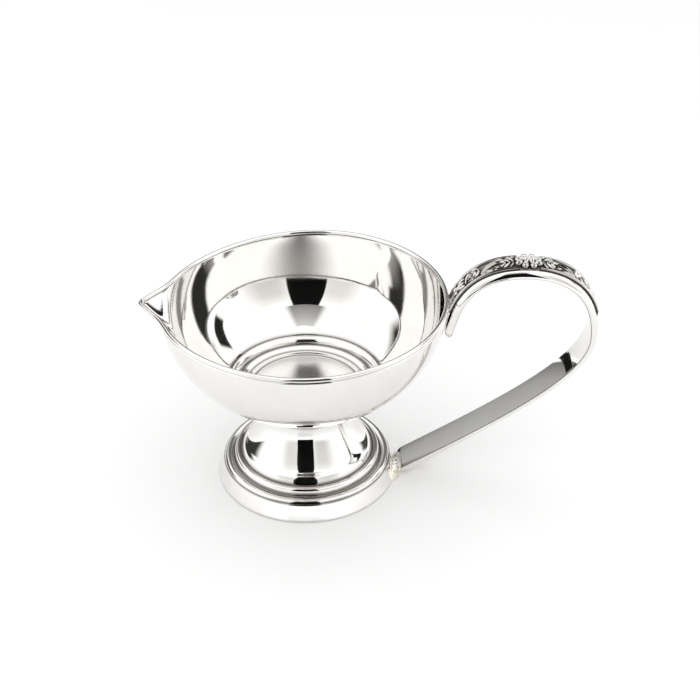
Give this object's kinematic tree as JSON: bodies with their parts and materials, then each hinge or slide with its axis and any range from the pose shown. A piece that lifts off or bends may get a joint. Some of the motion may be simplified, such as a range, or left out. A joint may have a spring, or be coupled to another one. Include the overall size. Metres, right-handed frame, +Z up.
{
  "type": "footed oil lamp",
  "caption": "Polished silver oil lamp: round bowl with a pulled V spout on a moulded pedestal foot, with a looped strap handle bearing a scroll and flower relief.",
  "frame": {"origin": "middle of the lamp's outline on the floor: the centre of the bounding box in X and Y, at the height of the foot band's underside", "axes": "+X from spout to handle, +Y to the far side as seen in the picture, +Z up; the foot's axis stands at X = -15.5 mm"},
  "size_m": [0.1116, 0.07, 0.0622],
  "materials": {
    "polished_silver": "mirror-polished silver with faint hand-polishing marks",
    "relief_silver": "raised silver relief, polished on its tops",
    "oxidised_silver": "darkened silver ground behind the relief",
    "silver_solder": "warm-toned solder, slightly crinkled"
  },
  "bodies": {
    "root": {"bowl": "polished_silver", "rim_wire": "polished_silver", "neck_collar": "polished_silver", "foot": "polished_silver", "foot_band": "polished_silver", "foot_joint": "silver_solder", "handle_strap": "polished_silver", "ornament_plate": "oxidised_silver", "flower_rosette": "relief_silver", "border_front_bowl_side": "relief_silver", "border_back_bowl_side": "relief_silver", "scroll_large_bowl_side": "relief_silver", "scroll_small_bowl_side": "relief_silver", "leaf_inner_bowl_side": "relief_silver", "leaf_end_bowl_side": "relief_silver", "border_front_bend_side": "relief_silver", "border_back_bend_side": "relief_silver", "scroll_large_bend_side": "relief_silver", "scroll_small_bend_side": "relief_silver", "leaf_inner_bend_side": "relief_silver", "leaf_end_bend_side": "relief_silver"}
  },
  "joints": []
}
